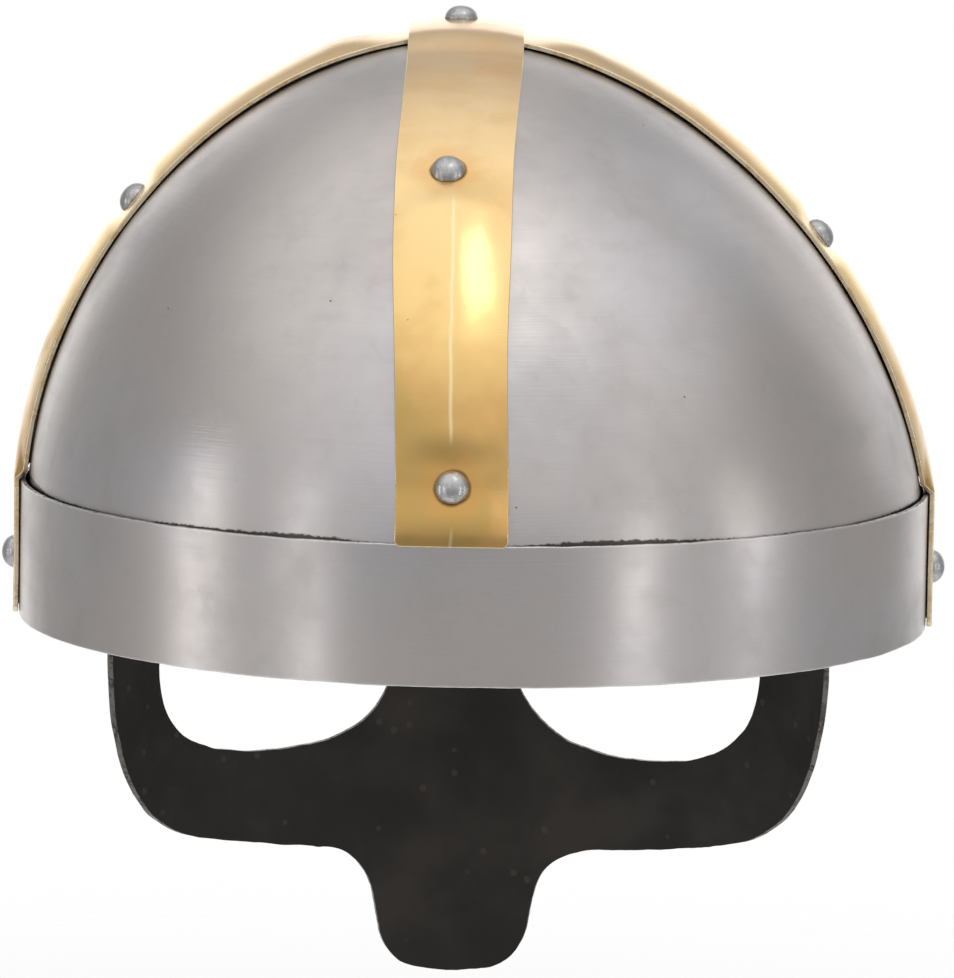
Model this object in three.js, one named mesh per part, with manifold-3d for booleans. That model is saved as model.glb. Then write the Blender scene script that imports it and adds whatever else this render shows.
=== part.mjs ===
// A spangenhelm: four domed steel plates held in a frame of brass straps and a steel brow band,
// with a steel spectacle guard hanging in front of the face and domed rivets through every joint.
// Millimetres, +Z up, the face looks along -Y, the origin is the centre of the rim opening.
// "Left" is the wearer's left, on the +X side.

import * as THREE from 'three';
import { mergeVertices } from 'three/addons/utils/BufferGeometryUtils.js';
import { TessellateModifier } from 'three/addons/modifiers/TessellateModifier.js';
import Module from 'manifold-3d';

const wasm = await Module();
wasm.setup();

// Sheet metal and fits
const sheet = 1.2; // thickness of the plates, the straps and the band
const gap = 0.3; // between neighbouring pieces
const overlapLift = sheet + 2 * gap; // one sheet lying over another
const weldDistance = 0.0013; // corners closer than this are one corner; no halving of whole sizes meets it

// Plan: every level section is an ellipse, longer from front to back than from side to side
const planStretch = 1.103;
const roundSteps = 64; // facets round the band and the bowl

// Brow band
const bandHalfWidth = 108.5;
const bandHeight = 32.3;

// Bowl
const bowlHalfWidth = bandHalfWidth - sheet - gap;
const bowlHalfLength = bowlHalfWidth * planStretch;
const plateBottom = 4; // lower edge of the plates, inside the band
const shoulderHeight = 25; // upright wall up to here, dome above
const apexHeight = 140;
const domeExponent = 1.81; // just under 2, so that the dome comes to a soft point
const domeSteps = 14;
const lean = 5; // the crown stands this far to the left of the rim's centre
const seamWidth = 0.6; // between two plates, under a strap
const plateDepth = sheet * planStretch; // a plate's thickness at the front and back, where it is most

// Straps
const strapEndWidth = 25.4;
const strapCrownWidth = 28;
const strapTaperReach = 60; // from the crown to where the strap has its end width
const strapSteps = 72;
const strapStepsAcross = 4; // even, so that one row of corners lies on the ridge
const ridgeHeight = 1.9;
const pinchedShare = 0.25; // of the ridge's height, left where a rivet pulls the strap down
const pinchReach = 4; // round each rivet
const pinchRun = 6; // from there to the full ridge
const crownLift = 2.2; // the crest strap over the bowl where it crosses the side strap
const crossingReach = 14.5; // half the width of the crossing
const crossingRun = 14; // over which the crest strap comes down from the crossing
const crestRidgeStart = 78; // the crest strap is smooth from the crown to its upper rivets
const crownDrift = -1.4; // the crest strap crosses the crown this far off its line
const crownDriftStart = 112; // height from which it does
const bandClearance = 2; // a strap keeps clear of the band's top edge over this height
const rampRun = 6; // over which a strap steps up onto the sheet below it
const crestStrapBottom = 31.6; // its ends lap the band's top edge
const sideStrapBottom = 0.6; // its ends run down the band to the rim

// Rivets
const rivetHeadRadius = 4;
const rivetHeadHeight = 3.2;
const rivetShankRadius = 2;
const rivetTailRadius = 3.4;
const rivetTailHeight = 1.2;
const rivetTailGap = 0.6; // under the tail, which is flat where the sheet is curved
const rivetSteps = 12;
const domeRings = 3;
const boreReach = 10; // a bore's length to each side of the bowl's surface
const rearUpperHeight = 111.8;
const rearUpperOffset = 2; // this rivet stands a little left of the strap's middle
const rearLowerHeight = 44.6;
const leftUpperHeight = 97.8;
const rightUpperHeight = 91.8;
const bandRivetHeight = 13.6;

// Spectacle guard, drawn flat: along the rim from the front, and up from the rim
const guardSheet = 1.6;
const guardTop = 26; // upper edge of the flange inside the plates
const guardCornerRadius = 6;
const guardReach = 110;
const guardCentre = 1.5;
const noseCentre = 4;
const eyeCentre = 4.5;
const eyeTop = -4;
const eyeBottom = -50.2;
const eyeTilt = 0.9; // the left opening ends higher, the right one lower
const guardRivetReach = 95;
const noseTip = -107.5;
const wallToGuard = bowlHalfWidth / (bowlHalfWidth - plateDepth - gap); // lengths along the wall
const guardSteps = 44;
const curveSteps = 6;
const cutterMargin = 5; // the outline's cutter reaches this far past both faces
const cutterEdge = 30; // its longest facet edge, short enough to follow the bend
const tessellationRounds = 20; // enough to bring every edge under that length

const colours = { steel: 0x8d8a88, brass: 0xc79a4c, rivet: 0xa3a3a3, guard: 0x4b4744 };

function steel(color) {
  return new THREE.MeshStandardMaterial({ color, roughness: 0.38, metalness: 1 });
}

// --- solids -----------------------------------------------------------------------------------

/** A closed geometry as a solid that can be cut. */
function toSolid(geometry) {
  geometry.deleteAttribute('normal');
  geometry.deleteAttribute('uv');
  const merged = mergeVertices(geometry, weldDistance);
  const mesh = new wasm.Mesh({
    numProp: 3,
    vertProperties: merged.attributes.position.array,
    triVerts: new Uint32Array(merged.index.array),
  });
  return new wasm.Manifold(mesh);
}

/** A solid as a geometry. */
function toGeometry(solid) {
  const mesh = solid.getMesh();
  const geometry = new THREE.BufferGeometry();
  geometry.setAttribute('position', new THREE.BufferAttribute(mesh.vertProperties, 3));
  geometry.setIndex(new THREE.BufferAttribute(mesh.triVerts, 1));
  geometry.computeVertexNormals();
  return geometry;
}

/** Moves every corner of a geometry to where place(point) puts it. */
function reshape(geometry, place) {
  const { position } = geometry.attributes;
  const point = new THREE.Vector3();
  for (let i = 0; i < position.count; i += 1) {
    point.fromBufferAttribute(position, i);
    place(point);
    position.setXYZ(i, point.x, point.y, point.z);
  }
  return geometry;
}

/** Turns a profile of [radius, height] points round the Z axis, stretched along Y. */
function turn(profile) {
  const points = profile.map(([radius, height]) => new THREE.Vector2(radius, height));
  const geometry = new THREE.LatheGeometry(points, roundSteps);
  geometry.rotateX(Math.PI / 2);
  geometry.scale(1, planStretch, 1);
  return geometry;
}

// --- the bowl's surface -----------------------------------------------------------------------

/** How far the crown's lean shifts the section at this height. */
function leanAt(height) {
  return lean * THREE.MathUtils.clamp((height - bandHeight) / (apexHeight - bandHeight), 0, 1);
}

/** Width and height of the dome's section at an angle from the apex, as shares of its full size. */
function domeShare(angle) {
  const power = 2 / domeExponent;
  return { out: Math.sin(angle) ** power, up: Math.cos(angle) ** power };
}

/** Size of the level section at this height, as a share of the bowl's full plan. */
function planShare(height) {
  const up = Math.max(0, (height - shoulderHeight) / (apexHeight - shoulderHeight));
  return up >= 1 ? 0 : (1 - up ** domeExponent) ** (1 / domeExponent);
}

/** Whether a point lies inside the bowl's outer surface. */
function insideBowl(point) {
  const x = (point.x - leanAt(point.z)) / bowlHalfWidth;
  const y = point.y / bowlHalfLength;
  return Math.hypot(x, y) < planShare(point.z);
}

/** Signed distance from a point near the bowl to its outer surface, along a direction. */
function distanceToBowl(point, direction) {
  let inner = -20;
  let outer = 10;
  const probe = new THREE.Vector3();
  for (let i = 0; i < 30; i += 1) {
    const middle = (inner + outer) / 2;
    probe.copy(point).addScaledVector(direction, middle);
    if (insideBowl(probe)) inner = middle;
    else outer = middle;
  }
  return inner;
}

/** Where the crest strap's middle runs, to the left of the rim's centre. */
function crestLineAt(height) {
  return lean + crownDrift * THREE.MathUtils.smoothstep(height, crownDriftStart, apexHeight);
}

/** The bowl's outer surface in an upright section; place(share, height) puts the section in space. */
class BowlArch extends THREE.Curve {
  constructor(place) {
    super();
    this.place = place;
    this.arcLengthDivisions = 400;
  }

  getPoint(t) {
    const angle = (0.5 - t) * Math.PI;
    const { out, up } = domeShare(Math.abs(angle));
    return this.place(Math.sign(angle) * out, shoulderHeight + (apexHeight - shoulderHeight) * up);
  }
}

// --- straps -----------------------------------------------------------------------------------

/** A strap bent over the bowl; its flat blank has along = 0 at the crown. */
class Strap {
  constructor({ place, across, bottom, crossesOver, ridgeStart, rivetHeights }) {
    this.across = across;
    this.crossesOver = crossesOver;
    this.ridgeStart = ridgeStart;
    this.path = new THREE.CurvePath();
    const arch = new BowlArch(place);
    const [leftLeg, rightLeg] = [1, -1].map((share) => {
      return new THREE.LineCurve3(place(share, bottom), place(share, shoulderHeight));
    });
    const hasLegs = bottom < shoulderHeight;
    if (hasLegs) this.path.add(leftLeg);
    this.path.add(arch);
    if (hasLegs) this.path.add(new THREE.LineCurve3(rightLeg.v2, rightLeg.v1));
    const archLengths = arch.getLengths();
    this.crown = archLengths[archLengths.length >> 1] + (hasLegs ? leftLeg.getLength() : 0);
    this.start = this.alongAt(1, bottom) - this.crown;
    this.end = this.alongAt(-1, bottom) - this.crown;
    this.rivets = rivetHeights.map(({ side, height }) => this.alongAt(side, height) - this.crown);
  }

  /** Distance along the path at which it passes a height, on its first (1) or second (-1) side. */
  alongAt(side, height) {
    const crownShare = this.crown / this.path.getLength();
    let low = side > 0 ? 0 : crownShare;
    let high = side > 0 ? crownShare : 1;
    for (let i = 0; i < 30; i += 1) {
      const middle = (low + high) / 2;
      const below = this.path.getPoint(middle).z < height;
      if (below === side > 0) low = middle;
      else high = middle;
    }
    return low * this.path.getLength();
  }

  /** Point and outward direction on the bowl under a spot of the blank. */
  footprint(along, across) {
    const t = (along + this.crown) / this.path.getLength();
    const tangent = this.path.getTangent(t);
    const outward = new THREE.Vector3().crossVectors(tangent, this.across).normalize();
    const point = this.path.getPoint(t).addScaledVector(this.across, across);
    point.addScaledVector(outward, distanceToBowl(point, outward));
    return { point, outward };
  }

  /** Height of the strap's inner face over the bowl. */
  lift(along, across, height) {
    const { smoothstep } = THREE.MathUtils;
    const rampFoot = bandHeight + bandClearance;
    const overBand = 1 - smoothstep(height, rampFoot, rampFoot + rampRun);
    const recess = bowlHalfLength * (1 - planShare(Math.min(height, rampFoot)));
    const bandStep = (overlapLift - gap + recess) * overBand;
    const reach = Math.abs(along);
    const overCrown = 1 - smoothstep(reach, crossingReach, crossingReach + crossingRun);
    const crownStep = this.crossesOver ? (crownLift - gap) * overCrown : 0;
    const crease = 1 - (2 * Math.abs(across)) / strapEndWidth;
    const ridge = this.ridgeAt(along) * (1 - overBand) * Math.max(0, crease);
    return gap + Math.max(bandStep, crownStep) + ridge;
  }

  /** Height of the ridge along the strap's middle, lower at the rivets and none at the crossing. */
  ridgeAt(along) {
    const { lerp, smoothstep } = THREE.MathUtils;
    const nearest = Math.min(...this.rivets.map((rivet) => Math.abs(along - rivet)));
    const free = smoothstep(nearest, pinchReach, pinchReach + pinchRun);
    const [start, run] = this.ridgeStart;
    const pastCrown = smoothstep(Math.abs(along), start, start + run);
    return ridgeHeight * lerp(pinchedShare, 1, free) * pastCrown;
  }

  widthAt(along) {
    const taper = THREE.MathUtils.smoothstep(Math.abs(along), 0, strapTaperReach);
    return THREE.MathUtils.lerp(strapCrownWidth, strapEndWidth, taper);
  }

  geometry() {
    const length = this.end - this.start;
    const blank = new THREE.BoxGeometry(length, 1, sheet, strapSteps, strapStepsAcross, 1);
    blank.translate((this.start + this.end) / 2, 0, sheet / 2);
    return reshape(blank, (spot) => {
      const across = spot.y * this.widthAt(spot.x);
      const { point, outward } = this.footprint(spot.x, across);
      const rise = this.lift(spot.x, across, point.z) + spot.z;
      spot.copy(point).addScaledVector(outward, rise);
    });
  }
}

const sideStrap = new Strap({
  place: (share, height) => new THREE.Vector3(share * bowlHalfWidth + leanAt(height), 0, height),
  across: new THREE.Vector3(0, -1, 0),
  bottom: sideStrapBottom,
  crossesOver: false,
  ridgeStart: [crossingReach, pinchRun],
  rivetHeights: [
    { side: 1, height: leftUpperHeight },
    { side: 1, height: bandRivetHeight },
    { side: -1, height: rightUpperHeight },
    { side: -1, height: bandRivetHeight },
  ],
});

const crestStrap = new Strap({
  place: (share, height) => new THREE.Vector3(crestLineAt(height), share * bowlHalfLength, height),
  across: new THREE.Vector3(1, 0, 0),
  bottom: crestStrapBottom,
  crossesOver: true,
  ridgeStart: [crestRidgeStart, pinchRun],
  rivetHeights: [
    { side: 1, height: rearUpperHeight },
    { side: 1, height: rearLowerHeight },
    { side: -1, height: rearUpperHeight },
    { side: -1, height: rearLowerHeight },
  ],
});

// --- rivets -----------------------------------------------------------------------------------

/** A domed rivet along +Z: the head sits at headBase, the tail ends the shank at tailTop. */
function rivetGeometry(headBase, tailTop) {
  const profile = [new THREE.Vector2(0, tailTop - rivetTailHeight)];
  profile.push(new THREE.Vector2(rivetTailRadius * 0.7, tailTop - rivetTailHeight));
  profile.push(new THREE.Vector2(rivetTailRadius, tailTop - rivetTailHeight * 0.4));
  profile.push(new THREE.Vector2(rivetTailRadius, tailTop));
  profile.push(new THREE.Vector2(rivetShankRadius, tailTop));
  profile.push(new THREE.Vector2(rivetShankRadius, headBase));
  for (let i = 0; i < domeRings; i += 1) {
    const angle = (i / domeRings) * (Math.PI / 2);
    const radius = rivetHeadRadius * Math.cos(angle);
    profile.push(new THREE.Vector2(radius, headBase + rivetHeadHeight * Math.sin(angle)));
  }
  profile.push(new THREE.Vector2(0, headBase + rivetHeadHeight));
  return new THREE.LatheGeometry(profile, rivetSteps).rotateX(Math.PI / 2);
}

/** Where a rivet goes: a point on the bowl's outer surface, its outward direction and its levels. */
function strapRivet(name, strap, along, across = 0) {
  const { point, outward } = strap.footprint(along, across);
  const headBase = strap.lift(along, 0, point.z) + sheet + gap;
  return { name, point, outward, headBase, tailTop: -plateDepth - rivetTailGap };
}

function guardRivet(name, reach) {
  const { point, outward } = bowlWallAt((guardCentre + reach) * wallToGuard, bandRivetHeight);
  const tailTop = -plateDepth - gap - guardSheet - rivetTailGap;
  return { name, point, outward, headBase: overlapLift, tailTop };
}

/** Point and outward direction on the bowl's upright wall, at a distance along it from the front. */
function bowlWallAt(along, height) {
  const plan = new THREE.EllipseCurve(0, 0, bowlHalfWidth, bowlHalfLength, -Math.PI / 2, 1.5 * Math.PI);
  plan.arcLengthDivisions = 720;
  const share = THREE.MathUtils.euclideanModulo(along / plan.getLength(), 1);
  const spot = plan.getPointAt(share);
  const tangent = plan.getTangentAt(share);
  return {
    point: new THREE.Vector3(spot.x, spot.y, height),
    outward: new THREE.Vector3(tangent.y, -tangent.x, 0),
  };
}

const [leftUpper, leftLower, rightUpper, rightLower] = sideStrap.rivets;
const [rearUpper, rearLower, frontUpper, frontLower] = crestStrap.rivets;

const rivets = [
  strapRivet('rivet_crown', crestStrap, 0, -crownDrift),
  strapRivet('rivet_rear_upper', crestStrap, rearUpper, rearUpperOffset),
  strapRivet('rivet_rear_lower', crestStrap, rearLower),
  strapRivet('rivet_front_upper', crestStrap, frontUpper),
  strapRivet('rivet_front_lower', crestStrap, frontLower),
  strapRivet('rivet_left_upper', sideStrap, leftUpper),
  strapRivet('rivet_left_lower', sideStrap, leftLower),
  strapRivet('rivet_right_upper', sideStrap, rightUpper),
  strapRivet('rivet_right_lower', sideStrap, rightLower),
  guardRivet('rivet_guard_centre', noseCentre - guardCentre),
  guardRivet('rivet_guard_left', guardRivetReach),
  guardRivet('rivet_guard_right', -guardRivetReach),
];

const up = new THREE.Vector3(0, 0, 1);

/** The holes for all rivet shanks, as one solid. */
function boreSolid() {
  const bores = rivets.map(({ point, outward }) => {
    const radius = rivetShankRadius + gap;
    const bore = new THREE.CylinderGeometry(radius, radius, 2 * boreReach, rivetSteps);
    bore.rotateX(Math.PI / 2);
    bore.applyQuaternion(new THREE.Quaternion().setFromUnitVectors(up, outward));
    bore.translate(point.x, point.y, point.z);
    return toSolid(bore);
  });
  return bores.reduce((joined, bore) => joined.add(bore));
}

const bores = boreSolid();

/** A geometry with the rivet holes drilled through it. */
function drilled(geometry) {
  return toGeometry(toSolid(geometry).subtract(bores));
}

// --- plates, band and guard -------------------------------------------------------------------

/** The whole bowl as one sheet. */
function bowlShell() {
  const rise = apexHeight - shoulderHeight;
  const profile = [];
  for (let i = 0; i <= domeSteps; i += 1) {
    const { out, up: share } = domeShare((1 - i / domeSteps) * (Math.PI / 2));
    profile.push([out * bowlHalfWidth, shoulderHeight + share * rise]);
  }
  const inner = profile.map(([radius, height]) => [
    radius * (1 - sheet / bowlHalfWidth),
    shoulderHeight + (height - shoulderHeight) * (1 - sheet / rise),
  ]);
  inner.reverse();
  const foot = [[bowlHalfWidth - sheet, plateBottom], [bowlHalfWidth, plateBottom]];
  const wholeProfile = [...inner, ...foot, ...profile];
  return reshape(turn(wholeProfile), (point) => {
    point.x += leanAt(point.z);
  });
}

/** One quarter of the bowl, cut back from the seams under the straps. */
function plateGeometry(shell, side, end) {
  const size = 200;
  const quarter = new THREE.BoxGeometry(size, size, 2 * size);
  quarter.translate(
    lean + side * (size / 2 + seamWidth / 2),
    end * (size / 2 + seamWidth / 2),
    0,
  );
  return toGeometry(shell.intersect(toSolid(quarter)));
}

function bandGeometry() {
  const inner = bandHalfWidth - sheet;
  return turn([
    [inner, 0],
    [bandHalfWidth, 0],
    [bandHalfWidth, bandHeight],
    [inner, bandHeight],
    [inner, 0],
  ]);
}

/** The guard's flat outline: flange, arms and nose guard. */
function guardOutline() {
  const outline = new THREE.Shape();
  const corner = guardCornerRadius;
  const left = guardCentre + guardReach;
  const right = guardCentre - guardReach;
  outline.moveTo(left - corner, guardTop);
  outline.lineTo(right + corner, guardTop);
  outline.absarc(right + corner, guardTop - corner, corner, Math.PI / 2, Math.PI, false);
  outline.lineTo(right, -24);
  outline.bezierCurveTo(right + 2, -46, right + 12, -66, right + 38, -70.2);
  outline.quadraticCurveTo(right + 56, -73.5, right + 74, -75);
  outline.bezierCurveTo(noseCentre - 27, -76, noseCentre - 22, -80, noseCentre - 20.5, -89);
  outline.lineTo(noseCentre - 19, -97);
  outline.bezierCurveTo(noseCentre - 17, -105, noseCentre - 12, noseTip, noseCentre, noseTip);
  outline.bezierCurveTo(noseCentre + 12, noseTip, noseCentre + 17, -105, noseCentre + 19, -97);
  outline.lineTo(noseCentre + 20.5, -89);
  outline.bezierCurveTo(noseCentre + 22, -80, noseCentre + 27, -76, left - 74, -75);
  outline.quadraticCurveTo(left - 56, -73.5, left - 38, -70.2);
  outline.bezierCurveTo(left - 12, -66, left - 2, -46, left, -24);
  outline.lineTo(left, guardTop - corner);
  outline.absarc(left - corner, guardTop - corner, corner, 0, Math.PI / 2, false);
  return outline;
}

/** One eye opening, to the wearer's left (side 1) or right (side -1) of the bridge. */
function eyeOpening(side) {
  const at = (reach) => eyeCentre + side * reach;
  const opening = new THREE.Path();
  const low = eyeBottom + side * eyeTilt;
  opening.moveTo(at(26), eyeTop);
  opening.lineTo(at(67), eyeTop);
  opening.bezierCurveTo(at(80), eyeTop, at(87), -12, at(87), -25);
  opening.bezierCurveTo(at(87), -42, at(73), low, at(50), low);
  opening.bezierCurveTo(at(34), low, at(22), -46, at(17), -34);
  opening.bezierCurveTo(at(12), -20, at(10), eyeTop, at(26), eyeTop);
  return opening;
}

/** Bends a flat piece, its outer face at Z = 0, round the inside of the bowl's upright wall. */
function bendRoundWall(geometry) {
  return reshape(geometry, (spot) => {
    const { point, outward } = bowlWallAt(spot.x * wallToGuard, spot.y);
    const rise = spot.z - plateDepth - gap;
    spot.copy(point).addScaledVector(outward, rise);
  });
}

/** A curved blank, cut out along the outline and the eye openings. */
function guardGeometry() {
  const outline = guardOutline();
  outline.holes.push(eyeOpening(1), eyeOpening(-1));
  const depth = guardSheet + 2 * cutterMargin;
  const settings = { depth, bevelEnabled: false, curveSegments: curveSteps };
  const cutter = new THREE.ExtrudeGeometry(outline, settings);
  cutter.translate(0, 0, -guardSheet - cutterMargin);
  const netted = new TessellateModifier(cutterEdge, tessellationRounds).modify(cutter);
  const height = guardTop - noseTip + 2 * cutterMargin;
  const width = 2 * (guardReach + cutterMargin);
  const blank = new THREE.BoxGeometry(width, height, guardSheet, guardSteps, 1, 1);
  blank.translate(guardCentre, (guardTop + noseTip) / 2, -guardSheet / 2);
  return toGeometry(toSolid(bendRoundWall(blank)).intersect(toSolid(bendRoundWall(netted))));
}

// --- the helmet -------------------------------------------------------------------------------

const helmet = new THREE.Group();

function addPiece(name, geometry, color) {
  const piece = new THREE.Mesh(geometry, steel(color));
  piece.name = name;
  helmet.add(piece);
  return piece;
}

const shell = toSolid(bowlShell()).subtract(bores);
for (const [endName, end] of [['rear', 1], ['front', -1]]) {
  for (const [sideName, side] of [['left', 1], ['right', -1]]) {
    addPiece(`bowl_plate_${endName}_${sideName}`, plateGeometry(shell, side, end), colours.steel);
  }
}
addPiece('side_strap', drilled(sideStrap.geometry()), colours.brass);
addPiece('crest_strap', drilled(crestStrap.geometry()), colours.brass);
addPiece('brow_band', drilled(bandGeometry()), colours.steel);
addPiece('spectacle_guard', drilled(guardGeometry()), colours.guard);
for (const { name, point, outward, headBase, tailTop } of rivets) {
  const rivet = addPiece(name, rivetGeometry(headBase, tailTop), colours.rivet);
  rivet.position.copy(point);
  rivet.quaternion.setFromUnitVectors(up, outward);
}

export default helmet;
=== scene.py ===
"""Looks of a riveted four-plate helmet of steel and brass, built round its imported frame."""

import logging
import math
from dataclasses import dataclass, field
from enum import Enum
from typing import Callable

import bmesh
import bpy
from mathutils import Matrix, Vector, kdtree, noise
from mathutils.geometry import interpolate_bezier


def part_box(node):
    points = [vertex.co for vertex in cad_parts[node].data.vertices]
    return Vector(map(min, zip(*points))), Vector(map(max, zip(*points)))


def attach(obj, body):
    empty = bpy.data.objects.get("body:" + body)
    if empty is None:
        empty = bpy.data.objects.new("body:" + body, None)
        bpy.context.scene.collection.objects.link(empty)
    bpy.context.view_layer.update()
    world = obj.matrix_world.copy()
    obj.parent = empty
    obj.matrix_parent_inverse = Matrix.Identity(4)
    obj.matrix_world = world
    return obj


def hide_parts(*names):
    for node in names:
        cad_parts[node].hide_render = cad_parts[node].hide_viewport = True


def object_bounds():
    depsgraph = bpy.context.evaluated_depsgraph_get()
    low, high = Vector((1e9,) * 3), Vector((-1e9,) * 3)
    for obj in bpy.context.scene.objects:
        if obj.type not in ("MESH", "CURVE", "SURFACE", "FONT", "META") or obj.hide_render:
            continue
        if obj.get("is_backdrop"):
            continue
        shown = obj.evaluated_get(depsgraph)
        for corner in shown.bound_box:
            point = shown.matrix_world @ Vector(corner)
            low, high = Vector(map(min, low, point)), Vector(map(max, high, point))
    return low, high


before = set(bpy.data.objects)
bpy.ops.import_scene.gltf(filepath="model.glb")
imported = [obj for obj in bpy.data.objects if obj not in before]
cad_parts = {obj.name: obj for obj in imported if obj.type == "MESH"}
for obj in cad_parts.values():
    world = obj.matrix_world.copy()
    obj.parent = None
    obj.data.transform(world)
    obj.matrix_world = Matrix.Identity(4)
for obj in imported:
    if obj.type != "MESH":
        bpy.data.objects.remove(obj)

logging.basicConfig(level=logging.INFO, format="%(name)s: %(message)s")
log = logging.getLogger("helmet")

MM = 0.001
BODY = "root"
Colour = tuple[float, float, float, float]


# --- small helpers ----------------------------------------------------------------------------


def clamp(value: float, low: float = 0.0, high: float = 1.0) -> float:
    """Keeps a value between two ends."""
    return max(low, min(high, value))


def ease(value: float, low: float, high: float) -> float:
    """Smooth step from 0 at low to 1 at high."""
    share = clamp((value - low) / (high - low))
    return share * share * (3 - 2 * share)


def lerp(first: float, second: float, share: float) -> float:
    """Value a share of the way from first to second."""
    return first + (second - first) * share


def ripple(point: Vector, wavelength: float, seed: float = 0.0) -> float:
    """Smooth noise between about -1 and 1, the same each run.

    Args:
        point: Place in metres.
        wavelength: Size of one swell, in metres.
        seed: Shifts the pattern, so that two uses differ.

    Returns:
        The noise at that place.
    """
    return noise.noise(point / wavelength + Vector((seed, -seed, seed * 0.5)))


# --- shader graphs ----------------------------------------------------------------------------


class Graph:
    """A node tree being wired up."""

    def __init__(self, tree: bpy.types.NodeTree) -> None:
        """Keeps the tree that nodes are added to."""
        self.tree = tree

    def add(self, kind: str, inputs: dict | None = None, **settings: object) -> bpy.types.Node:
        """Adds a node.

        Args:
            kind: Blender's name of the node type.
            inputs: Values or sockets by input name or number.
            settings: Properties set on the node.

        Returns:
            The new node.
        """
        node = self.tree.nodes.new(kind)
        for key, value in settings.items():
            setattr(node, key, value)
        for key, value in (inputs or {}).items():
            if isinstance(value, bpy.types.NodeSocket):
                self.tree.links.new(value, node.inputs[key])
            else:
                node.inputs[key].default_value = value
        return node

    def math(self, operation: str, *values: object) -> bpy.types.NodeSocket:
        """Adds a math node and returns its result."""
        return self.add("ShaderNodeMath", dict(enumerate(values)), operation=operation).outputs[0]

    def vector(self, operation: str, *values: object) -> bpy.types.Node:
        """Adds a vector math node."""
        return self.add("ShaderNodeVectorMath", dict(enumerate(values)), operation=operation)

    def remap(self, value: object, low: object, high: object,
              first: object = 0.0, last: object = 1.0) -> bpy.types.NodeSocket:
        """Maps low..high smoothly to first..last.

        Args:
            value: Number or socket to map.
            low: Where the result is first.
            high: Where the result is last.
            first: Result at low.
            last: Result at high.

        Returns:
            The mapped value.
        """
        inputs = {"Value": value, "From Min": low, "From Max": high, "To Min": first, "To Max": last}
        return self.add("ShaderNodeMapRange", inputs, interpolation_type="SMOOTHSTEP").outputs[0]

    def blend(self, share: object, first: object, second: object) -> bpy.types.NodeSocket:
        """Mixes two colours by a share and returns the mixed one."""
        return self.add("ShaderNodeMix", {0: share, 6: first, 7: second}, data_type="RGBA").outputs[2]

    def noise(self, vector: object, scale: object, detail: float = 2.0) -> bpy.types.NodeSocket:
        """Adds a noise texture and returns its value."""
        inputs = {"Vector": vector, "Scale": scale, "Detail": detail}
        return self.add("ShaderNodeTexNoise", inputs).outputs["Fac"]

    def ramp(self, value: object, stops: tuple[tuple[float, Colour], ...]) -> bpy.types.NodeSocket:
        """Adds a colour ramp.

        Args:
            value: Socket that runs along the ramp.
            stops: Position and colour of each stop, in rising order.

        Returns:
            The colour.
        """
        node = self.add("ShaderNodeValToRGB", {"Fac": value})
        elements = node.color_ramp.elements
        while len(elements) < len(stops):
            elements.new(1.0)
        for element, (position, colour) in zip(elements, stops):
            element.position = position
            element.color = colour
        return node.outputs["Color"]

    def effect(self, effect: "Effect", place: object, **values: object) -> bpy.types.bpy_prop_collection:
        """Places a shared effect.

        Args:
            effect: The effect.
            place: Coordinates for its Vector input.
            values: Values or sockets of its other inputs, by name.

        Returns:
            The node's outputs.
        """
        return self.add("ShaderNodeGroup", {"Vector": place, **values}, node_tree=effect.tree).outputs


class Effect:
    """A shared shader node group, built once and placed in many materials."""

    name = ""
    inputs: dict[str, str] = {}
    outputs: dict[str, str] = {}

    def __init__(self) -> None:
        """Makes the group's sockets and wires it."""
        self.tree = bpy.data.node_groups.new(self.name, "ShaderNodeTree")
        for in_out, sockets in (("INPUT", self.inputs), ("OUTPUT", self.outputs)):
            for label, kind in sockets.items():
                self.tree.interface.new_socket(label, in_out=in_out, socket_type=f"NodeSocket{kind}")
        self.graph = Graph(self.tree)
        self.given = self.graph.add("NodeGroupInput").outputs
        self.results = self.graph.add("NodeGroupOutput").inputs
        self.wire()

    def send(self, label: str, value: bpy.types.NodeSocket) -> None:
        """Connects a value to one of the group's outputs."""
        self.tree.links.new(value, self.results[label])

    def wire(self) -> None:
        """Wires the group's nodes."""
        raise NotImplementedError


class BrushedGrain(Effect):
    """Fine polishing lines, drawn out along the two axes with little stretch."""

    name = "brushed_grain"
    inputs = {"Vector": "Vector", "Stretch": "Vector"}
    outputs = {"Height": "Float", "Tone": "Float"}

    def wire(self) -> None:
        """Lines from stretched noise, and broader bands of tone."""
        g, given = self.graph, self.given
        drawn = g.vector("MULTIPLY", given["Vector"], given["Stretch"]).outputs[0]
        self.send("Height", g.noise(drawn, 1.0, 4.0))
        self.send("Tone", g.noise(drawn, 0.35, 3.0))


class Smudges(Effect):
    """Soft patches, such as handling marks and uneven polish."""

    name = "smudges"
    inputs = {"Vector": "Vector", "Scale": "Float", "Low": "Float", "High": "Float"}
    outputs = {"Mask": "Float"}

    def wire(self) -> None:
        """Two noises, the large one warped by a finer one."""
        g, given = self.graph, self.given
        warp = g.noise(given["Vector"], given["Scale"], 3.0)
        shift = g.add("ShaderNodeVectorMath", {0: (0.02, 0.02, 0.02), "Scale": warp}, operation="SCALE")
        bent = g.vector("ADD", given["Vector"], shift.outputs[0]).outputs[0]
        cloud = g.noise(bent, given["Scale"], 5.0)
        self.send("Mask", g.remap(cloud, given["Low"], given["High"]))


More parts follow.
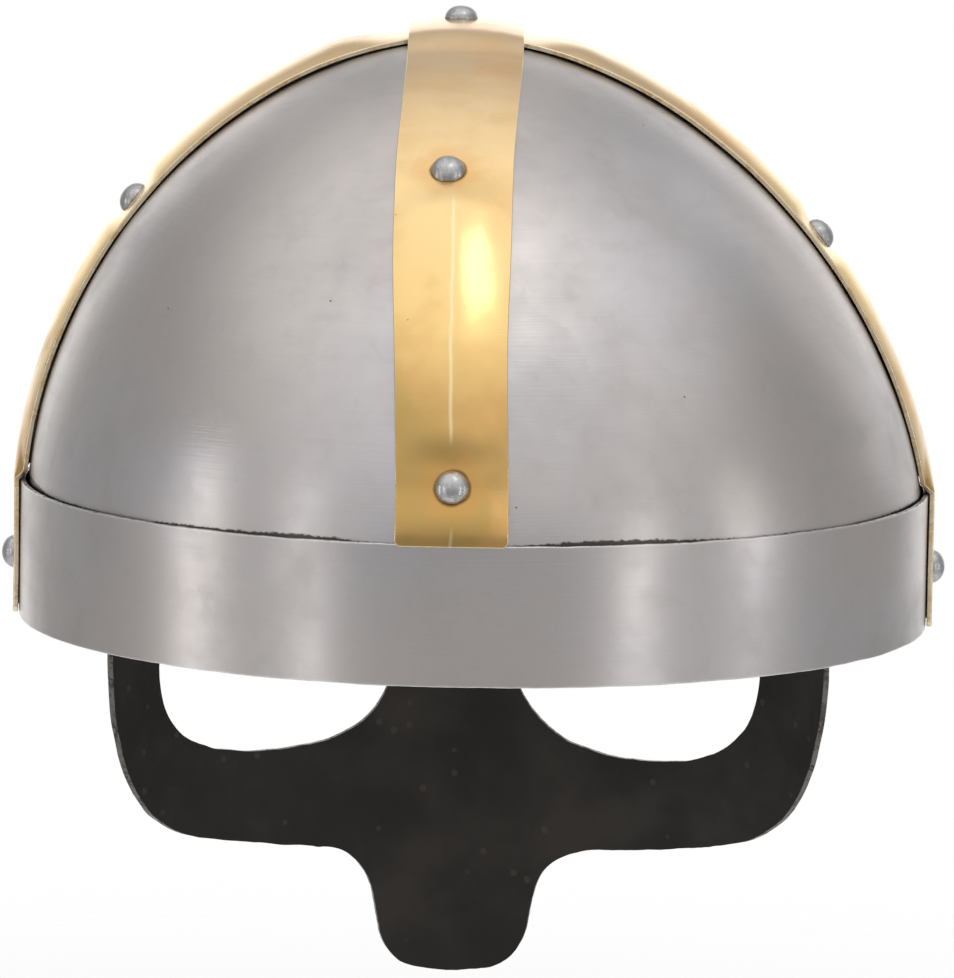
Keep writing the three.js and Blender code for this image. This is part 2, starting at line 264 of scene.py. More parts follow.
class Pits(Effect):
    """Sparse dark specks and rust pits."""

    name = "pits"
    inputs = {"Vector": "Vector", "Scale": "Float", "Share": "Float", "Size": "Float"}
    outputs = {"Mask": "Float"}

    def wire(self) -> None:
        """One speck in each chosen cell."""
        g, given = self.graph, self.given
        cells = g.add("ShaderNodeTexVoronoi", {"Vector": given["Vector"], "Scale": given["Scale"]})
        pick = g.add("ShaderNodeSeparateColor", {0: cells.outputs["Color"]}).outputs[0]
        chosen = g.math("LESS_THAN", pick, given["Share"])
        grown = g.math("MULTIPLY", given["Size"], 0.5)
        dot = g.remap(cells.outputs["Distance"], grown, given["Size"], 1.0, 0.0)
        self.send("Mask", g.math("MULTIPLY", chosen, dot))


class Scratches(Effect):
    """Sparse thin scratches, drawn out along one axis."""

    name = "scratches"
    inputs = {"Vector": "Vector", "Stretch": "Vector", "Amount": "Float"}
    outputs = {"Mask": "Float"}

    def wire(self) -> None:
        """Peaks of stretched noise, broken up by patches."""
        g, given = self.graph, self.given
        drawn = g.vector("MULTIPLY", given["Vector"], given["Stretch"]).outputs[0]
        lines = g.remap(g.noise(drawn, 1.0, 1.0), 0.70, 0.78)
        patches = g.remap(g.noise(given["Vector"], 60.0, 1.0), 0.45, 0.65)
        self.send("Mask", g.math("MULTIPLY", g.math("MULTIPLY", lines, patches), given["Amount"]))


class EdgeWear(Effect):
    """A worn rim of uneven width along the edges of a sheet."""

    name = "edge_wear"
    inputs = {"Vector": "Vector", "Distance": "Float", "Width": "Float", "Breakup": "Float"}
    outputs = {"Mask": "Float"}

    def wire(self) -> None:
        """Distance to the edge, shifted by noise."""
        g, given = self.graph, self.given
        shift = g.math("SUBTRACT", g.noise(given["Vector"], 260.0, 3.0), 0.5)
        uneven = g.math("MULTIPLY_ADD", shift, given["Breakup"], given["Distance"])
        self.send("Mask", g.remap(uneven, 0.0, given["Width"], 1.0, 0.0))


class StainAndShade(Effect):
    """A soft round patch with an uneven rim round a centre, used for orange discolouring and for painted
    shade round a rivet.
    """

    name = "stain_and_shade"
    inputs = {"Vector": "Vector", "Centre": "Vector", "Radius": "Float", "Fade": "Float"}
    outputs = {"Mask": "Float"}

    def wire(self) -> None:
        """Distance from the centre, shifted by noise."""
        g, given = self.graph, self.given
        away = g.vector("DISTANCE", given["Vector"], given["Centre"]).outputs["Value"]
        shift = g.math("SUBTRACT", g.noise(given["Vector"], 220.0, 3.0), 0.5)
        uneven = g.math("MULTIPLY_ADD", shift, given["Fade"], away)
        edge = g.math("ADD", given["Radius"], given["Fade"])
        self.send("Mask", g.remap(uneven, given["Radius"], edge, 1.0, 0.0))


@dataclass
class Effects:
    """The shared node groups, each built once."""

    grain: BrushedGrain = field(default_factory=BrushedGrain)
    smudges: Smudges = field(default_factory=Smudges)
    pits: Pits = field(default_factory=Pits)
    scratches: Scratches = field(default_factory=Scratches)
    wear: EdgeWear = field(default_factory=EdgeWear)
    stain_and_shade: StainAndShade = field(default_factory=StainAndShade)


def new_material(name: str) -> tuple[bpy.types.Material, Graph, bpy.types.Node]:
    """Starts a node material.

    Args:
        name: The finish's name.

    Returns:
        The material, its graph and its Principled BSDF.
    """
    material = bpy.data.materials.new(name)
    material.use_nodes = True
    return material, Graph(material.node_tree), material.node_tree.nodes["Principled BSDF"]


# --- finishes ---------------------------------------------------------------------------------


@dataclass(frozen=True)
class Finish:
    """A surface finish, which becomes one material."""

    name: str

    def material(self, effects: Effects) -> bpy.types.Material:
        """Builds the material.

        Args:
            effects: The shared node groups.

        Returns:
            The material.
        """
        material, g, shader = new_material(self.name)
        self.wire(g, shader, effects)
        return material

    def wire(self, g: Graph, shader: bpy.types.Node, effects: Effects) -> None:
        """Wires the finish's nodes."""
        raise NotImplementedError

    @staticmethod
    def connect(g: Graph, shader: bpy.types.Node, colour: bpy.types.NodeSocket,
                rough: bpy.types.NodeSocket, bump: bpy.types.Node, metallic: float = 1.0) -> None:
        """Connects a varying colour, roughness and bump to the shader."""
        shader.inputs["Metallic"].default_value = metallic
        g.tree.links.new(colour, shader.inputs["Base Color"])
        g.tree.links.new(rough, shader.inputs["Roughness"])
        g.tree.links.new(bump.outputs[0], shader.inputs["Normal"])


@dataclass(frozen=True)
class SteelFinish(Finish):
    """Satin-polished mild steel with fine level polishing lines, smudges and a few pits."""

    bright: Colour = (0.62, 0.60, 0.59, 1.0)
    dull: Colour = (0.47, 0.445, 0.435, 1.0)
    warm: Colour = (0.62, 0.55, 0.515, 1.0)
    lilac: Colour = (0.59, 0.56, 0.60, 1.0)
    pit: Colour = (0.10, 0.075, 0.06, 1.0)
    edge: Colour = (0.80, 0.79, 0.77, 1.0)
    # Painted shade: colour of the dark line painted in the crevice above the band.
    crevice_shade: Colour = (0.03, 0.024, 0.02, 1.0)
    roughness: float = 0.27
    smudge_roughness: float = 0.12
    grain_stretch: tuple[float, float, float] = (70.0, 70.0, 2600.0)
    grain_depth: float = 0.03 * MM
    wear_width: float = 0.6 * MM
    pit_share: float = 0.022
    # Top of the painted crevice shade; the default lies far below the helmet, so none is painted.
    crevice_shade_level: float = -1.0

    def wire(self, g: Graph, shader: bpy.types.Node, effects: Effects) -> None:
        """Tinted steel, dulled by smudges and grain, with an uneven line of painted shade at its foot, in
        the crevice above the band.
        """
        place = g.add("ShaderNodeTexCoord").outputs["Object"]
        distance = g.add("ShaderNodeAttribute", attribute_name="edge").outputs["Fac"]
        grain = g.effect(effects.grain, place, Stretch=self.grain_stretch)
        broad = g.effect(effects.smudges, place, Scale=22.0, Low=0.40, High=0.68)[0]
        fine = g.effect(effects.smudges, place, Scale=130.0, Low=0.45, High=0.75)[0]
        pits = g.effect(effects.pits, place, Scale=210.0, Share=self.pit_share, Size=0.075)[0]
        marks = g.effect(effects.scratches, place, Stretch=(420.0, 420.0, 45.0), Amount=0.5)[0]
        wear = g.effect(effects.wear, place, Distance=distance, Width=self.wear_width, Breakup=0.5 * MM)[0]
        moved = g.vector("ADD", place, (0.23, 0.41, 0.12)).outputs[0]
        tint = g.effect(effects.smudges, moved, Scale=16.0, Low=0.42, High=0.62)[0]
        cloud = g.math("MULTIPLY_ADD", fine, 0.25, g.math("MULTIPLY", broad, 0.75))
        colour = g.blend(0.55, self.bright, g.blend(tint, self.warm, self.lilac))
        colour = g.blend(cloud, colour, self.dull)
        colour = g.blend(g.math("MULTIPLY", grain["Tone"], 0.22), colour, self.dull)
        colour = g.blend(g.math("MULTIPLY", wear, 0.6), colour, self.edge)
        colour = g.blend(g.math("MULTIPLY", pits, 0.85), colour, self.pit)
        # Painted shade: darkens the steel below the shade level, the crevice where the band's top edge
        # meets the bowl.
        colour = g.blend(g.math("MULTIPLY", self.crevice_shade_mask(g, place), 0.9), colour, self.crevice_shade)
        rough = g.math("MULTIPLY_ADD", cloud, self.smudge_roughness, self.roughness)
        rough = g.math("MULTIPLY_ADD", grain["Tone"], 0.06, rough)
        height = g.math("MULTIPLY_ADD", pits, -1.5, grain["Height"])
        height = g.math("MULTIPLY_ADD", marks, -0.6, height)
        bump = g.add("ShaderNodeBump", {"Strength": 0.8, "Distance": self.grain_depth, "Height": height})
        self.connect(g, shader, colour, rough, bump)

    def crevice_shade_mask(self, g: Graph, place: bpy.types.NodeSocket) -> bpy.types.NodeSocket:
        """An uneven line of painted shade, for the crevice above the band, that reaches up to the shade
        level.
        """
        level = g.add("ShaderNodeSeparateXYZ", {0: place}).outputs["Z"]
        rough_line = g.math("MULTIPLY", g.math("SUBTRACT", g.noise(place, 800.0, 3.0), 0.5), 1.4 * MM)
        patches = g.math("MULTIPLY", g.math("SUBTRACT", g.noise(place, 20.0, 1.0), 0.56), 5 * MM)
        above = g.math("SUBTRACT", level, g.math("ADD", rough_line, patches))
        return g.remap(above, self.crevice_shade_level, self.crevice_shade_level + 0.5 * MM, 1.0, 0.0)


@dataclass(frozen=True)
class BrassFinish(Finish):
    """Polished brass, lighter high up and darker and more olive low down, with orange patches and a thin
    ring of painted shade round each rivet, and a painted highlight along the ridge.
    """

    low: float
    high: float
    rivets: tuple[Vector, ...]
    roughness: float = 0.17
    stops: tuple[tuple[float, Colour], ...] = (
        (0.0, (0.55, 0.355, 0.118, 1.0)),
        (0.28, (0.60, 0.40, 0.142, 1.0)),
        (0.45, (0.90, 0.63, 0.26, 1.0)),
        (0.70, (0.95, 0.69, 0.34, 1.0)),
        (1.0, (0.86, 0.63, 0.39, 1.0)),
    )
    tarnish: Colour = (0.62, 0.38, 0.13, 1.0)
    blush: Colour = (0.93, 0.52, 0.21, 1.0)
    # Paler brass for the painted highlight along the ridge's crease.
    polished: Colour = (0.98, 0.82, 0.52, 1.0)
    speck: Colour = (0.16, 0.09, 0.04, 1.0)
    glow: Colour = (0.78, 0.36, 0.10, 1.0)
    # Painted shade: colour of the thin dark ring where each rivet's head meets the strap.
    crevice_shade: Colour = (0.10, 0.055, 0.02, 1.0)
    edge: Colour = (0.97, 0.86, 0.60, 1.0)

    def wire(self, g: Graph, shader: bpy.types.Node, effects: Effects) -> None:
        """Brass by height, then tarnish, a painted highlight along the ridge, specks, orange patches and
        painted shade round the rivets, and worn edges.
        """
        place = g.add("ShaderNodeTexCoord").outputs["Object"]
        distance = g.add("ShaderNodeAttribute", attribute_name="edge").outputs["Fac"]
        colour = g.ramp(self.height(g, place), self.stops)
        blotches = g.effect(effects.smudges, place, Scale=55.0, Low=0.44, High=0.72)[0]
        colour = g.blend(g.math("MULTIPLY", blotches, 0.30), colour, self.tarnish)
        moved = g.vector("ADD", place, (0.31, 0.17, 0.0)).outputs[0]
        blush = g.effect(effects.smudges, moved, Scale=34.0, Low=0.47, High=0.66)[0]
        colour = g.blend(g.math("MULTIPLY", blush, 0.42), colour, self.blush)
        # Painted highlight: a paler line along the ridge's crease.
        colour = g.blend(g.math("MULTIPLY", self.ridge_highlight_mask(g, place), 0.6), colour, self.polished)
        specks = g.effect(effects.pits, place, Scale=320.0, Share=0.06, Size=0.09)[0]
        colour = g.blend(g.math("MULTIPLY", specks, 0.55), colour, self.speck)
        for rivet in self.rivets:
            glow = g.effect(effects.stain_and_shade, place, Centre=rivet, Radius=5.0 * MM, Fade=5 * MM)[0]
            colour = g.blend(g.math("MULTIPLY", glow, 0.28), colour, self.glow)
            # Painted shade: a thin dark ring at the foot of the rivet's head, where it meets the strap.
            crevice_shade = g.effect(effects.stain_and_shade, place, Centre=rivet, Radius=3.9 * MM, Fade=0.8 * MM)[0]
            colour = g.blend(g.math("MULTIPLY", crevice_shade, 0.8), colour, self.crevice_shade)
        wear = g.effect(effects.wear, place, Distance=distance, Width=0.45 * MM, Breakup=0.35 * MM)[0]
        colour = g.blend(g.math("MULTIPLY", wear, 0.55), colour, self.edge)
        grain = g.effect(effects.grain, place, Stretch=(2200.0, 2200.0, 90.0))
        marks = g.effect(effects.scratches, place, Stretch=(90.0, 90.0, 900.0), Amount=1.0)[0]
        rough = g.math("MULTIPLY_ADD", blotches, 0.12, self.roughness)
        rough = g.math("MULTIPLY_ADD", grain["Tone"], 0.05, rough)
        relief = g.math("MULTIPLY_ADD", marks, -0.8, g.math("MULTIPLY", grain["Height"], 0.5))
        bump = g.add("ShaderNodeBump", {"Strength": 0.7, "Distance": 0.03 * MM, "Height": relief})
        self.connect(g, shader, colour, rough, bump)

    def height(self, g: Graph, place: bpy.types.NodeSocket) -> bpy.types.NodeSocket:
        """Height between low and high as a share, shifted by noise."""
        level = g.add("ShaderNodeSeparateXYZ", {0: place}).outputs["Z"]
        drift = g.math("SUBTRACT", g.noise(place, 45.0, 3.0), 0.5)
        uneven = g.math("MULTIPLY_ADD", drift, 22 * MM, level)
        inputs = {"Value": uneven, "From Min": self.low, "From Max": self.high}
        return g.add("ShaderNodeMapRange", inputs).outputs[0]

    @staticmethod
    def ridge_highlight_mask(g: Graph, place: bpy.types.NodeSocket) -> bpy.types.NodeSocket:
        """A thin wandering line along the strap's ridge, where a highlight is painted in paler brass."""
        flow = g.add("ShaderNodeSeparateXYZ", {0: g.add("ShaderNodeUVMap", uv_map="UVMap").outputs[0]})
        wobble = g.math("SUBTRACT", g.noise(place, 70.0, 2.0), 0.5)
        aside = g.math("ABSOLUTE", g.math("MULTIPLY_ADD", wobble, 1.6 * MM, flow.outputs["Y"]))
        ridge = g.add("ShaderNodeAttribute", attribute_name="ridge").outputs["Fac"]
        near = g.remap(aside, 0.1 * MM, 0.6 * MM, 1.0, 0.0)
        return g.math("MULTIPLY", near, g.remap(g.math("MULTIPLY_ADD", wobble, 0.5, ridge), 0.6, 1.05))


@dataclass(frozen=True)
class BlackenedFinish(Finish):
    """The dark brown, oil-blackened skin left on the helmet's inside."""

    dark: Colour = (0.013, 0.011, 0.0095, 1.0)
    brown: Colour = (0.030, 0.0235, 0.018, 1.0)
    fleck: Colour = (0.075, 0.055, 0.04, 1.0)
    roughness: float = 0.62
    specular: float = 0.35

    def wire(self, g: Graph, shader: bpy.types.Node, effects: Effects) -> None:
        """Two browns in patches, flecked, over a crusty bump."""
        place = g.add("ShaderNodeTexCoord").outputs["Object"]
        patches = g.effect(effects.smudges, place, Scale=30.0, Low=0.38, High=0.66)[0]
        flecks = g.effect(effects.pits, place, Scale=260.0, Share=0.10, Size=0.3)[0]
        colour = g.blend(patches, self.dark, self.brown)
        colour = g.blend(g.math("MULTIPLY", flecks, 0.5), colour, self.fleck)
        rough = g.math("MULTIPLY_ADD", patches, -0.12, self.roughness)
        crust = g.noise(place, 420.0, 4.0)
        bump = g.add("ShaderNodeBump", {"Strength": 0.6, "Distance": 0.15 * MM, "Height": crust})
        shader.inputs["Specular IOR Level"].default_value = self.specular
        self.connect(g, shader, colour, rough, bump, metallic=0.0)


@dataclass(frozen=True)
class CutEdgeFinish(Finish):
    """The bare rim of a sheet as shears and file left it."""

    bright: Colour
    dark: Colour
    roughness: float = 0.34

    def wire(self, g: Graph, shader: bpy.types.Node, effects: Effects) -> None:
        """Bright metal with dark burrs."""
        place = g.add("ShaderNodeTexCoord").outputs["Object"]
        burrs = g.effect(effects.smudges, place, Scale=240.0, Low=0.42, High=0.66)[0]
        grain = g.effect(effects.grain, place, Stretch=(900.0, 900.0, 900.0))
        colour = g.blend(g.math("MULTIPLY", burrs, 0.8), self.bright, self.dark)
        rough = g.math("MULTIPLY_ADD", burrs, 0.2, self.roughness)
        bump = g.add("ShaderNodeBump", {"Strength": 0.8, "Distance": 0.08 * MM, "Height": grain["Height"]})
        self.connect(g, shader, colour, rough, bump)


@dataclass(frozen=True)
class RivetFinish(Finish):
    """Turned steel with hammer marks left by setting the rivet."""

    bright: Colour = (0.52, 0.52, 0.52, 1.0)
    dull: Colour = (0.33, 0.325, 0.32, 1.0)
    roughness: float = 0.27

    def wire(self, g: Graph, shader: bpy.types.Node, effects: Effects) -> None:
        """Steel dulled by hammer marks, finely dented."""
        place = g.add("ShaderNodeTexCoord").outputs["Object"]
        marks = g.effect(effects.smudges, place, Scale=380.0, Low=0.40, High=0.70)[0]
        grain = g.effect(effects.grain, place, Stretch=(500.0, 500.0, 2600.0))
        colour = g.blend(g.math("MULTIPLY", marks, 0.7), self.bright, self.dull)
        rough = g.math("MULTIPLY_ADD", marks, 0.14, self.roughness)
        dents = g.math("MULTIPLY_ADD", g.noise(place, 420.0, 2.0), 1.6, grain["Height"])
        bump = g.add("ShaderNodeBump", {"Strength": 0.7, "Distance": 0.03 * MM, "Height": dents})
        self.connect(g, shader, colour, rough, bump)


class Slot(Enum):
    """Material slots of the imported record."""

    BOWL = "bowl_steel"
    BAND = "band_steel"
    GUARD = "guard_steel"
    STRAP = "strap_brass"
    RIVET = "rivet_steel"


@dataclass
class Wardrobe:
    """Every material of the helmet, built once."""

    bowl: bpy.types.Material
    band: bpy.types.Material
    guard: bpy.types.Material
    brass: bpy.types.Material
    inside: bpy.types.Material
    guard_edge: bpy.types.Material
    steel_edge: bpy.types.Material
    brass_edge: bpy.types.Material
    rivet: bpy.types.Material


# --- making pieces ----------------------------------------------------------------------------


def mark_edges(bm: bmesh.types.BMesh) -> None:
    """Stores each point's distance to the sheet's nearest edge as the attribute "edge"."""
    layer = bm.verts.layers.float.new("edge")
    rim = [v.co for v in bm.verts if v.is_boundary]
    tree = kdtree.KDTree(len(rim))
    for index, place in enumerate(rim):
        tree.insert(place, index)
    tree.balance()
    for v in bm.verts:
        v[layer] = tree.find(v.co)[2]


def new_piece(name: str, bm: bmesh.types.BMesh, materials: list[bpy.types.Material],
              replaces: str) -> bpy.types.Object:
    """Makes a finished mesh into a piece of the helmet.

    Args:
        name: The piece's name.
        bm: Its shape in place; it is freed here.
        materials: Its materials, by slot number.
        replaces: The frame node that it stands for.

    Returns:
        The new object.
    """
    for face in bm.faces:
        face.smooth = True
    mesh = bpy.data.meshes.new(name)
    bm.to_mesh(mesh)
    bm.free()
    for material in materials:
        mesh.materials.append(material)
    piece = bpy.data.objects.new(name, mesh)
    bpy.context.scene.collection.objects.link(piece)
    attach(piece, BODY)
    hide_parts(replaces)
    log.info("%s stands for %s, %d faces before modifiers", name, replaces, len(mesh.polygons))
    return piece


def give_thickness(piece: bpy.types.Object, thickness: float, rim: float = 0.22 * MM) -> None:
    """Gives a sheet its thickness inwards, with rounded rims.

    Args:
        piece: The sheet, whose faces point outwards. Its materials are outside, inside and rim.
        thickness: The gauge.
        rim: Radius of the rounded rims.
    """
    solidify = piece.modifiers.new("thickness", "SOLIDIFY")
    solidify.thickness = thickness
    solidify.offset = -1.0
    solidify.use_even_offset = True
    solidify.material_offset = 1
    solidify.material_offset_rim = 2
    bevel = piece.modifiers.new("rims", "BEVEL")
    bevel.width = rim
    bevel.segments = 2
    bevel.limit_method = "ANGLE"
    bevel.angle_limit = math.radians(40)
    bevel.harden_normals = True


# --- the bowl's surface -----------------------------------------------------------------------


@dataclass(frozen=True)
class BowlForm:
    """The bowl's outer surface: an oval plan under a rounded dome that leans a little to the left."""

    half_width: float
    half_length: float
    foot: float
    apex: float
    band_top: float
    shoulder: float = 25 * MM
    exponent: float = 1.81
    lean: float = 5 * MM

    @classmethod
    def from_frame(cls) -> "BowlForm":
        """Reads the bowl's size from its plates and the band."""
        corners = [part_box(name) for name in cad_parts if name.startswith("bowl_plate")]
        return cls(
            half_width=-min(low.x for low, _ in corners),
            half_length=max(high.y for _, high in corners),
            foot=min(low.z for low, _ in corners),
            apex=max(high.z for _, high in corners),
            band_top=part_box("brow_band")[1].z,
        )

    @property
    def stretch(self) -> float:
        """Length over width."""
        return self.half_length / self.half_width

    def lean_at(self, z: float) -> float:
        """How far the section at this height is shifted to the left."""
        return self.lean * clamp((z - self.band_top) / (self.apex - self.band_top))

    def dome_share(self, angle: float) -> tuple[float, float]:
        """Width and rise of the dome at an angle from the apex, as shares of its full size."""
        power = 2 / self.exponent
        return math.sin(angle) ** power, math.cos(angle) ** power

    def plan_share(self, z: float) -> float:
        """Size of the level section at this height, as a share of the full plan."""
        up = max(0.0, (z - self.shoulder) / (self.apex - self.shoulder))
        return 0.0 if up >= 1 else (1 - up**self.exponent) ** (1 / self.exponent)

    def depth(self, point: Vector) -> float:
        """Negative inside the bowl, positive outside."""
        x = (point.x - self.lean_at(point.z)) / self.half_width
        return math.hypot(x, point.y / self.half_length) - self.plan_share(point.z)

    def reach(self, point: Vector, direction: Vector) -> float:
        """Signed distance along a direction from a point near the bowl to its surface."""
        inner, outer = -20 * MM, 10 * MM
        for _ in range(24):
            middle = (inner + outer) / 2
            if self.depth(point + direction * middle) < 0:
                inner = middle
            else:
                outer = middle
        return inner


@dataclass
class BowlPlates:
    """The four domed plates, cut from one raised shell."""

    form: BowlForm
    gauge: float = 1.3 * MM
    rounds: int = 288
    dome_rows: int = 110
    wall_rows: int = 8
    swell: float = 0.16 * MM
    swell_length: float = 38 * MM

    def shell(self) -> bmesh.types.BMesh:
        """Spins the bowl's profile, draws it out to its oval plan and lets it lean."""
        form = self.form
        bm = bmesh.new()
        profile = []
        for row in range(self.wall_rows):
            z = lerp(form.foot, form.shoulder, row / self.wall_rows)
            profile.append(bm.verts.new((form.half_width, 0, z)))
        for row in range(self.dome_rows + 1):
            out, up = form.dome_share(math.pi / 2 * (1 - row / self.dome_rows))
            z = lerp(form.shoulder, form.apex, up)
            profile.append(bm.verts.new((form.half_width * out, 0, z)))
        edges = [bm.edges.new(pair) for pair in zip(profile, profile[1:])]
        bmesh.ops.spin(bm, geom=profile + edges, cent=(0, 0, 0), axis=(0, 0, 1),
                       angle=math.tau, steps=self.rounds, use_merge=True)
        bmesh.ops.remove_doubles(bm, verts=bm.verts, dist=0.01 * MM)
        bmesh.ops.scale(bm, vec=(1, form.stretch, 1), verts=bm.verts)
        bmesh.ops.recalc_face_normals(bm, faces=bm.faces)
        bm.normal_update()
        for v in bm.verts:
            swell = ripple(v.co, self.swell_length) + 0.3 * ripple(v.co, self.swell_length / 3, 7.0)
            v.co += v.normal * (self.swell * swell - 0.5 * self.swell)
            v.co.x += form.lean_at(v.co.z)
        return bm

    def plate(self, shell: bmesh.types.BMesh, node: str) -> bmesh.types.BMesh:
        """Cuts one plate out of the shell along the seams of its node.

        Args:
            shell: The whole bowl.
            node: The plate's node in the frame.

        Returns:
            The plate's outer face.
        """
        low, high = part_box(node)
        bm = shell.copy()
        for axis in (Vector((1, 0, 0)), Vector((0, 1, 0))):
            middle = (low + high).dot(axis) / 2
            side = 1 if middle > 0 else -1
            seam = low if side > 0 else high
            bmesh.ops.bisect_plane(bm, geom=bm.verts[:] + bm.edges[:] + bm.faces[:],
                                   plane_co=axis * seam.dot(axis), plane_no=axis * side,
                                   clear_inner=True)
        mark_edges(bm)
        return bm

    def build(self, dress: Wardrobe) -> None:
        """Makes the four plates.

        Args:
            dress: The materials.
        """
        shell = self.shell()
        for node in sorted(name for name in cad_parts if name.startswith("bowl_plate")):
            name = node.removeprefix("bowl_")
            materials = [dress.bowl, dress.inside, dress.steel_edge]
            piece = new_piece(name, self.plate(shell, node), materials, node)
            give_thickness(piece, self.gauge)
        shell.free()


@dataclass
class BrowBand:
    """The steel band round the bowl's foot, with a slightly uneven upper edge."""

    node: str = "brow_band"
    gauge: float = 1.2 * MM
    rounds: int = 320
    rows: int = 22
    swell: float = 0.12 * MM
    swell_length: float = 30 * MM
    edge_wander: float = 0.22 * MM
    gape: float = 0.45 * MM
    gape_bearings: tuple[float, ...] = (48.0, 14.0, -62.0, 150.0)
    gape_spread: float = 13.0

    def build(self, dress: Wardrobe) -> None:
        """Makes the band.

        Args:
            dress: The materials.
        """
        low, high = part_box(self.node)
        bm = bmesh.new()
        wall = [bm.verts.new((high.x, 0, lerp(low.z, high.z, row / self.rows)))
                for row in range(self.rows + 1)]
        edges = [bm.edges.new(pair) for pair in zip(wall, wall[1:])]
        bmesh.ops.spin(bm, geom=wall + edges, cent=(0, 0, 0), axis=(0, 0, 1),
                       angle=math.tau, steps=self.rounds, use_merge=True)
        bmesh.ops.scale(bm, vec=(1, high.y / high.x, 1), verts=bm.verts)
        bmesh.ops.recalc_face_normals(bm, faces=bm.faces)
        bm.normal_update()
        for v in bm.verts:
            up = (v.co.z - low.z) / (high.z - low.z)
            bearing = math.degrees(math.atan2(v.co.x, v.co.y))
            open_share = sum(math.exp(-(((bearing - middle) / self.gape_spread) ** 2))
                             for middle in self.gape_bearings)
            v.co += v.normal * self.gape * open_share * up**3
            v.co += v.normal * self.swell * (ripple(v.co, self.swell_length, 3.0) - 0.6)
            wander = 0.6 * ripple(v.co, 14 * MM, 5.0) + 0.4 * ripple(v.co, 3.5 * MM, 9.0)
            v.co.z += self.edge_wander * wander * (abs(2 * up - 1)) ** 6
        mark_edges(bm)
        materials = [dress.band, dress.inside, dress.steel_edge]
        piece = new_piece("brow_band_steel", bm, materials, self.node)
        give_thickness(piece, self.gauge)


# --- straps -----------------------------------------------------------------------------------


